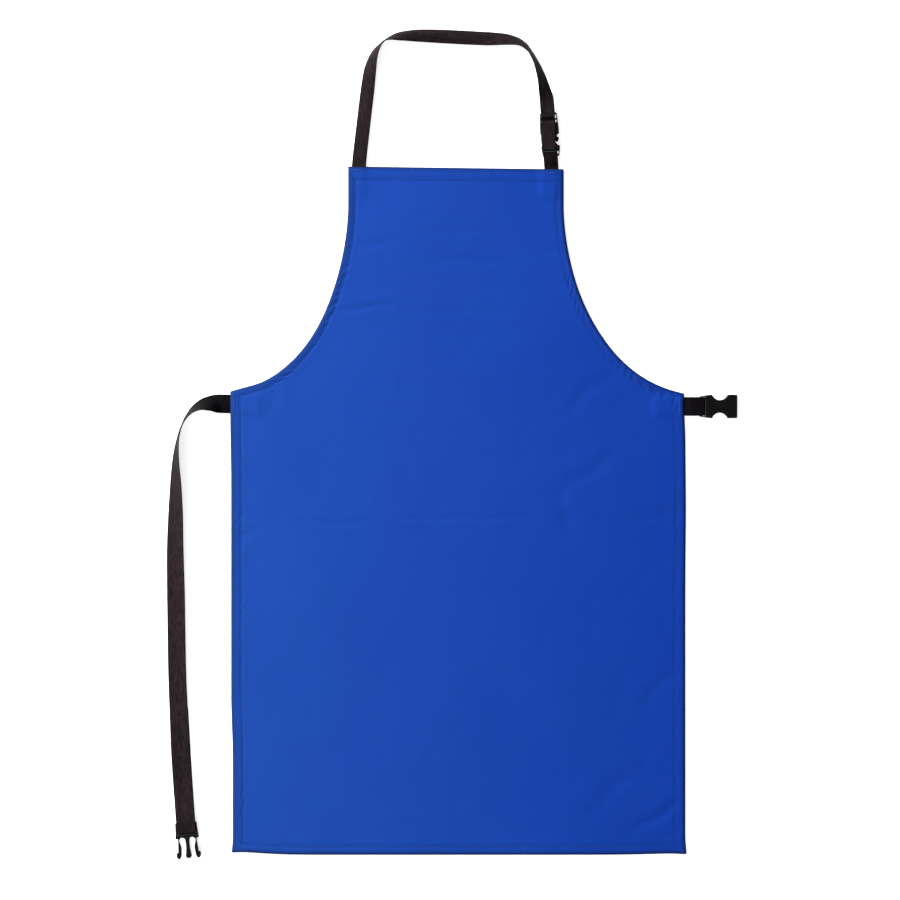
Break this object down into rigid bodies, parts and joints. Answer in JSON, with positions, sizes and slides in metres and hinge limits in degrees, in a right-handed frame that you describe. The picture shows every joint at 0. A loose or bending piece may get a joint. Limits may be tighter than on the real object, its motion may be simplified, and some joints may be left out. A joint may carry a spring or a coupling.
{
  "type": "welding apron",
  "caption": "Flat bib apron of layered heavy cloth with turned hems, a webbing neck loop and webbing waist straps that close with side-release buckles.",
  "frame": {"origin": "on the back face, on the centre line, level with the waist corners of the skirt", "axes": "+X to the wearer's left as the front faces up, +Y towards the neck, +Z out of the front"},
  "size_m": [0.7623, 1.1087, 0.0251],
  "materials": {
    "blue_cloth": "plain woven, matt",
    "lining_cloth": "plain woven, matt",
    "felt": "needled felt",
    "blue_thread": "twisted thread",
    "black_webbing": "woven webbing",
    "black_plastic": "moulded, satin",
    "black_thread": "twisted thread"
  },
  "bodies": {
    "apron": {"front_shell": "blue_cloth", "heat_barrier": "felt", "back_lining": "lining_cloth", "hem_topstitch": "blue_thread", "neck_left_bar_tack": "blue_thread", "neck_right_bar_tack": "blue_thread", "waist_left_bar_tack": "blue_thread", "waist_right_bar_tack": "blue_thread"},
    "neck_loop": {"neck_strap": "black_webbing", "neck_socket_strap": "black_webbing", "neck_buckle_socket": "black_plastic"},
    "neck_plug": {"neck_buckle_plug": "black_plastic", "neck_strap_tail": "black_webbing"},
    "neck_arm_left": {"neck_plug_arm_left": "black_plastic"},
    "neck_arm_right": {"neck_plug_arm_right": "black_plastic"},
    "waist_strap": {"waist_strap": "black_webbing", "waist_strap_tail": "black_webbing", "waist_tail_stitch": "black_thread", "waist_buckle_plug": "black_plastic"},
    "waist_arm_left": {"waist_plug_arm_left": "black_plastic"},
    "waist_arm_right": {"waist_plug_arm_right": "black_plastic"},
    "waist_socket": {"waist_socket_strap": "black_webbing", "waist_buckle_socket": "black_plastic"}
  },
  "joints": [
    {"name": "neck_loop_fold", "type": "hinge", "parent": "apron", "child": "neck_loop", "pos_m": [0, 0.306, 0.006], "axis": [1, 0, 0], "range_deg": [0, 165], "deforming": ["neck_strap", "neck_socket_strap"]},
    {"name": "neck_buckle_release", "type": "slide", "parent": "neck_loop", "child": "neck_plug", "axis": [-0.0698, 0.9976, 0], "range_m": [0, 0.028], "deforming": ["neck_strap", "neck_plug_arm_left", "neck_plug_arm_right"]},
    {"name": "neck_arm_left_squeeze", "type": "hinge", "parent": "neck_plug", "child": "neck_arm_left", "pos_m": [0.11375, 0.35672, 0.0036], "axis": [0, 0, 1], "range_deg": [0, 7], "stiffness_Nm_per_rad": 0.05},
    {"name": "neck_arm_right_squeeze", "type": "hinge", "parent": "neck_plug", "child": "neck_arm_right", "pos_m": [0.13163, 0.35797, 0.0036], "axis": [0, 0, -1], "range_deg": [0, 7], "stiffness_Nm_per_rad": 0.05},
    {"name": "waist_strap_fold", "type": "hinge", "parent": "apron", "child": "waist_strap", "pos_m": [-0.306, -0.013, 0.008], "axis": [0, 1, 0], "range_deg": [0, 165], "deforming": ["waist_strap"]},
    {"name": "waist_arm_left_squeeze", "type": "hinge", "parent": "waist_strap", "child": "waist_arm_left", "pos_m": [-0.37107, -0.59361, 0.0045], "axis": [0, 0, 1], "range_deg": [0, 11], "stiffness_Nm_per_rad": 0.05},
    {"name": "waist_arm_right_squeeze", "type": "hinge", "parent": "waist_strap", "child": "waist_arm_right", "pos_m": [-0.34877, -0.59146, 0.0045], "axis": [0, 0, -1], "range_deg": [0, 11], "stiffness_Nm_per_rad": 0.05},
    {"name": "waist_socket_fold", "type": "hinge", "parent": "apron", "child": "waist_socket", "pos_m": [0.306, -0.0167, 0.006], "axis": [0, -1, 0], "range_deg": [0, 165], "deforming": ["waist_socket_strap"]}
  ],
  "couplings": [
    {"joint": "neck_arm_right_squeeze", "follows": "neck_arm_left_squeeze", "ratio": 1},
    {"joint": "waist_arm_right_squeeze", "follows": "waist_arm_left_squeeze", "ratio": 1}
  ]
}
